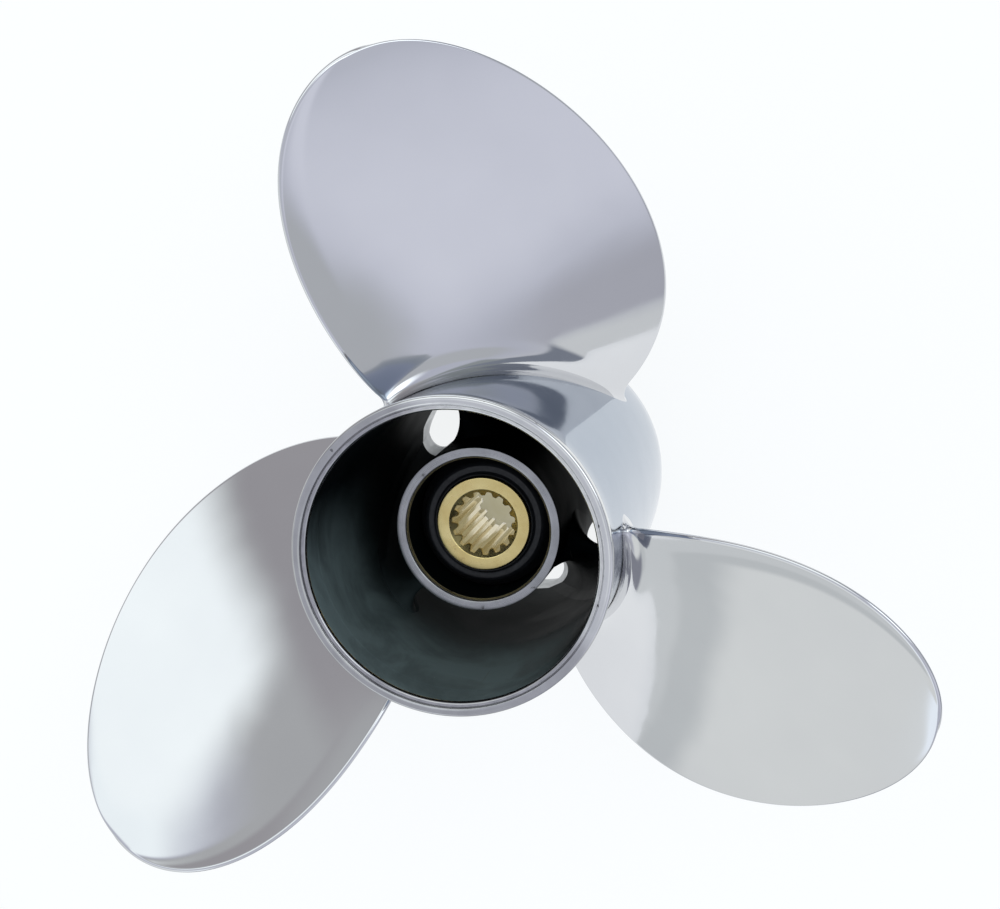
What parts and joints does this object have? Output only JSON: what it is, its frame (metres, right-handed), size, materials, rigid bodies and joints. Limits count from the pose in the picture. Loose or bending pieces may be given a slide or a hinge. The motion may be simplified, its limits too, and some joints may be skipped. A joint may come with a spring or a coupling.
{
  "type": "outboard motor propeller",
  "caption": "Polished stainless steel outboard propeller with raked, cupped blades, a through-hub exhaust barrel and a rubber-mounted splined brass sleeve.",
  "frame": {"origin": "on the shaft axis at the propeller's centre of mass, 87 mm forward of the exhaust rim", "axes": "+Z is the shaft axis towards the aft end (the exhaust rim), so the propeller stands on the forward end of its hub; +X and +Y lie across the shaft, with the first blade close to +Y"},
  "size_m": [0.3376, 0.3206, 0.173],
  "materials": {
    "polished_stainless": "mirror polished stainless steel",
    "black_paint": "satin black paint over cast stainless steel",
    "black_rubber": "matte moulded rubber",
    "brass": "machined brass, lightly pitted"
  },
  "bodies": {
    "root": {"blade_1": "polished_stainless", "blade_2": "polished_stainless", "blade_3": "polished_stainless", "exhaust_rim": "polished_stainless", "hub_barrel": "polished_stainless", "hub_vane_1": "black_paint", "hub_vane_2": "black_paint", "hub_vane_3": "black_paint", "inner_hub": "black_paint", "inner_hub_collar": "black_paint", "rubber_bushing": "black_rubber", "splined_sleeve": "brass"}
  },
  "joints": []
}
